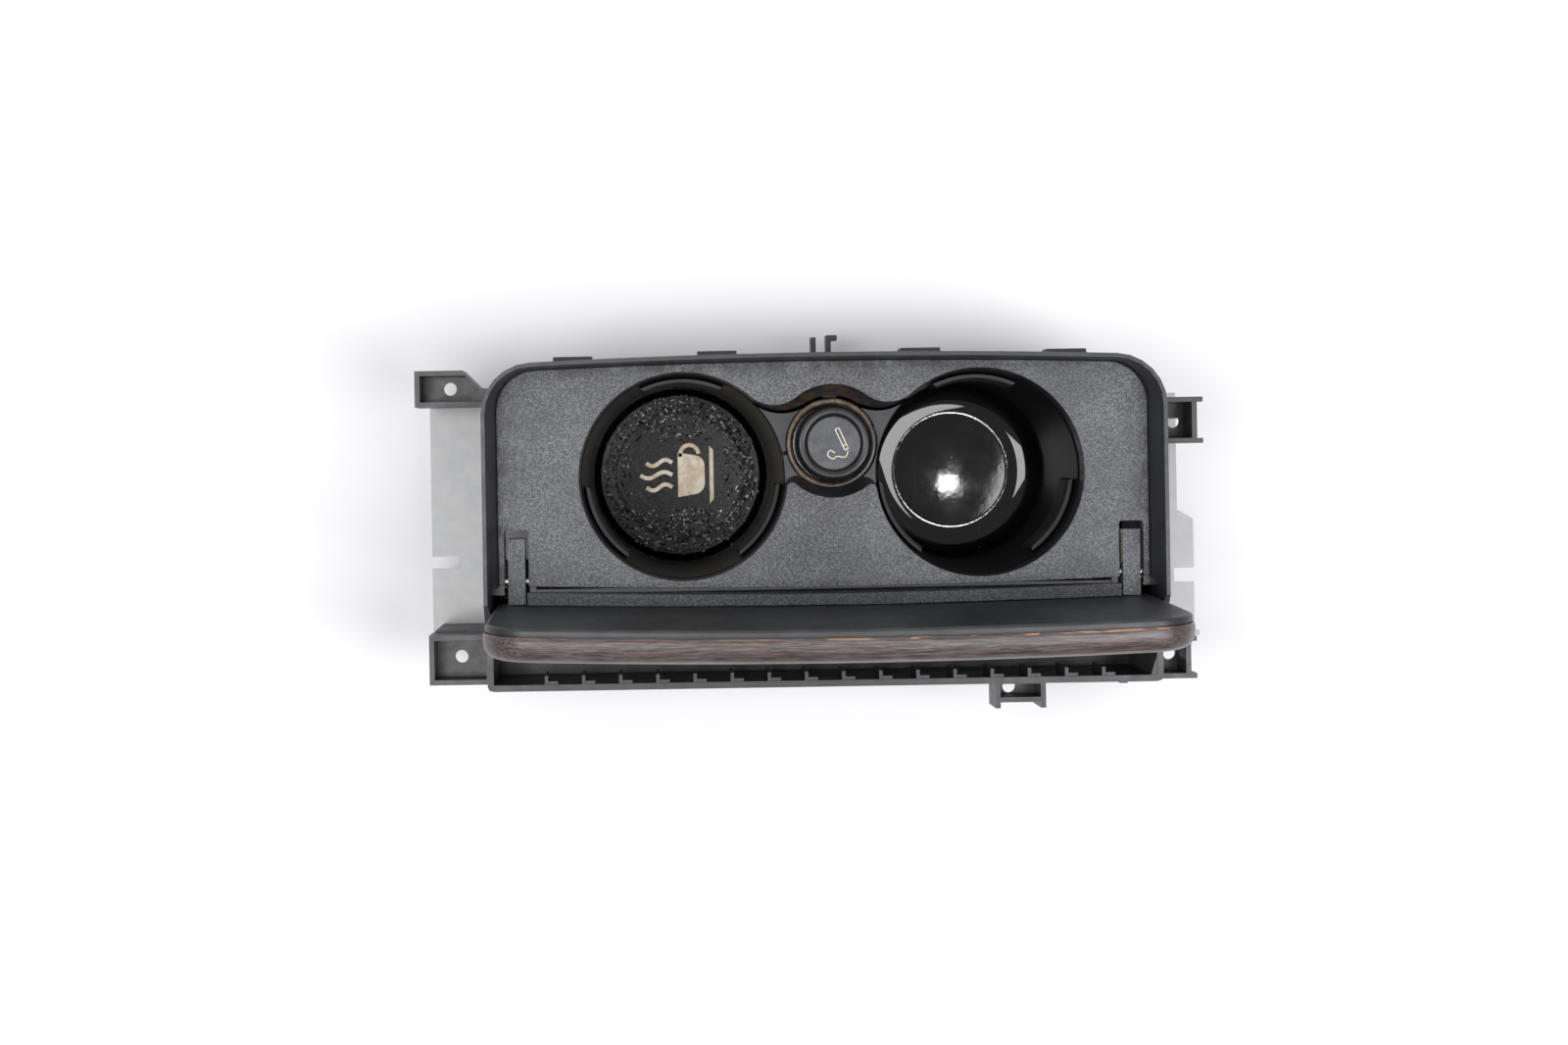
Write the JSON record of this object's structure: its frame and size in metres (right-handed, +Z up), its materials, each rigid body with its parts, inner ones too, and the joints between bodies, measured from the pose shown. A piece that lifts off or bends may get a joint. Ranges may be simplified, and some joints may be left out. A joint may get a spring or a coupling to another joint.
{
  "type": "console cup holder with lighter and lid",
  "caption": "Console insert with deep drink wells, a push-in lighter between them and a hinged wood-veneered lid that swings up out of a front pocket.",
  "frame": {"origin": "centre of the bounding box's underside, on the plane the wells stand on", "axes": "+X along the row of wells, towards the narrower side flange; +Y to the rear, away from the lid; +Z up"},
  "size_m": [0.3198, 0.1498, 0.1679],
  "materials": {
    "housing_plastic": "moulded, fine satin",
    "soft_touch_grey": "soft-touch paint on fine moulded grain",
    "gloss_black": "moulded high gloss",
    "black_rubber": "moulded, matte",
    "clear_amber": "moulded translucent",
    "knob_black": "moulded, satin",
    "steel": "drawn and plated",
    "brass": "turned",
    "insulator": "moulded phenolic",
    "natural_nylon": "moulded nylon",
    "veneer": "dark veneer under worn lacquer"
  },
  "bodies": {
    "base": {"housing": "housing_plastic", "deck": "soft_touch_grey", "well_liner_left": "gloss_black", "well_liner_right": "gloss_black", "light_ring": "clear_amber", "socket_retainer": "housing_plastic", "socket_shell": "steel", "contact_insulator": "insulator", "centre_contact": "brass", "lighter_sleeve": "steel", "socket_clip": "steel", "lighter_spring": "steel", "lamp_holder": "housing_plastic", "power_connector": "housing_plastic", "hinge_pin_left": "steel", "hinge_pin_right": "steel", "damper_body": "housing_plastic", "stop_buffer_left": "black_rubber", "stop_buffer_right": "black_rubber", "grip_pad_left_1": "black_rubber", "grip_pad_left_2": "black_rubber", "grip_pad_left_3": "black_rubber", "grip_pad_right_1": "black_rubber", "grip_pad_right_2": "black_rubber", "grip_pad_right_3": "black_rubber"},
    "lid": {"lid_shell": "housing_plastic", "lid_cover": "veneer", "hinge_strip": "soft_touch_grey", "hinge_arm_left": "soft_touch_grey", "hinge_arm_right": "soft_touch_grey", "sector_gear": "natural_nylon", "arm_screw_left": "steel", "arm_screw_right": "steel"},
    "lighter_button": {"lighter_knob": "knob_black", "lighter_knob_face": "soft_touch_grey", "lighter_rod": "steel", "heating_element": "steel"},
    "mat": {"well_mat": "black_rubber"},
    "damper_gear": {"damper_pinion": "natural_nylon"}
  },
  "joints": [
    {"name": "lid_hinge", "type": "hinge", "parent": "base", "child": "lid", "pos_m": [-0.0011, -0.0217, 0.0845], "axis": [-1, 0, 0], "range_deg": [0, 92]},
    {"name": "damper_spin", "type": "hinge", "parent": "base", "child": "damper_gear", "pos_m": [0.1159, -0.02352, 0.06374], "axis": [-1, 0, 0], "range_deg": [-307, 0]},
    {"name": "lighter_press", "type": "slide", "parent": "base", "child": "lighter_button", "axis": [0, 0, 1], "range_m": [-0.006, 0], "stiffness_N_per_m": 400, "springref_m": 0.004, "deforming": ["lighter_spring"]},
    {"name": "mat_lift", "type": "slide", "parent": "base", "child": "mat", "axis": [0, 0, 1], "range_m": [0, 0.06]}
  ],
  "couplings": [
    {"joint": "damper_spin", "follows": "lid_hinge", "ratio": -3.3333}
  ]
}
